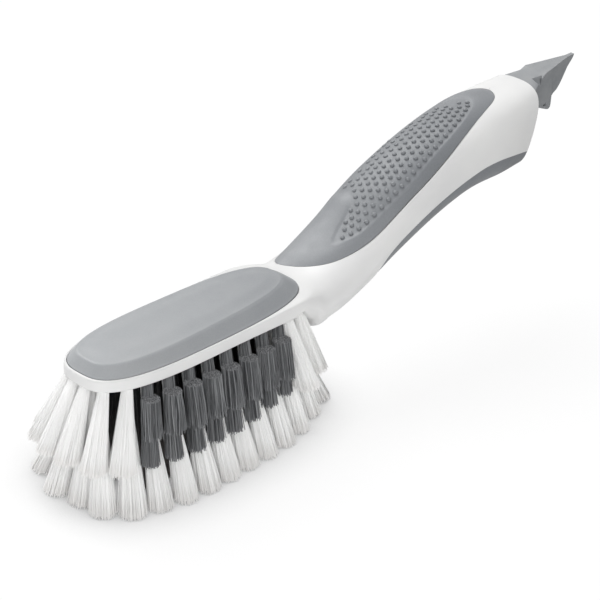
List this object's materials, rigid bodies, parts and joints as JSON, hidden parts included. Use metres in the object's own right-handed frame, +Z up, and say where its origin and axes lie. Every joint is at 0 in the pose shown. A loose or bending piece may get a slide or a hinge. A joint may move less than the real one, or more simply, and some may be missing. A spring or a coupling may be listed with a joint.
{
  "type": "shoe brush",
  "caption": "Long-handled scrubbing brush for footwear: white moulded body, soft grey pads on head and handle, white and grey tufts in tiers, and a pick in the butt.",
  "frame": {"origin": "on the floor under the middle of the bristle head, on the flat end of a bristle of the core", "axes": "+X runs from the head along the handle to the pick, +Y is the left side seen from behind the butt, +Z is up from the bristle tips to the head pad"},
  "size_m": [0.2734, 0.0612, 0.0902],
  "materials": {
    "white_plastic": "satin moulded polypropylene",
    "soft_pad": "matte overmoulded elastomer",
    "pick_plastic": "matte moulded polypropylene",
    "white_bristle": "drawn translucent filament",
    "grey_bristle": "drawn filament"
  },
  "bodies": {
    "root": {"brush_body": "white_plastic", "head_pad": "soft_pad", "grip_pad": "soft_pad", "lower_grip_pad": "soft_pad", "pick": "pick_plastic", "white_tufts": "white_bristle", "grey_tufts_right": "grey_bristle", "grey_tufts_left": "grey_bristle", "grey_tufts_core": "grey_bristle"}
  },
  "joints": []
}
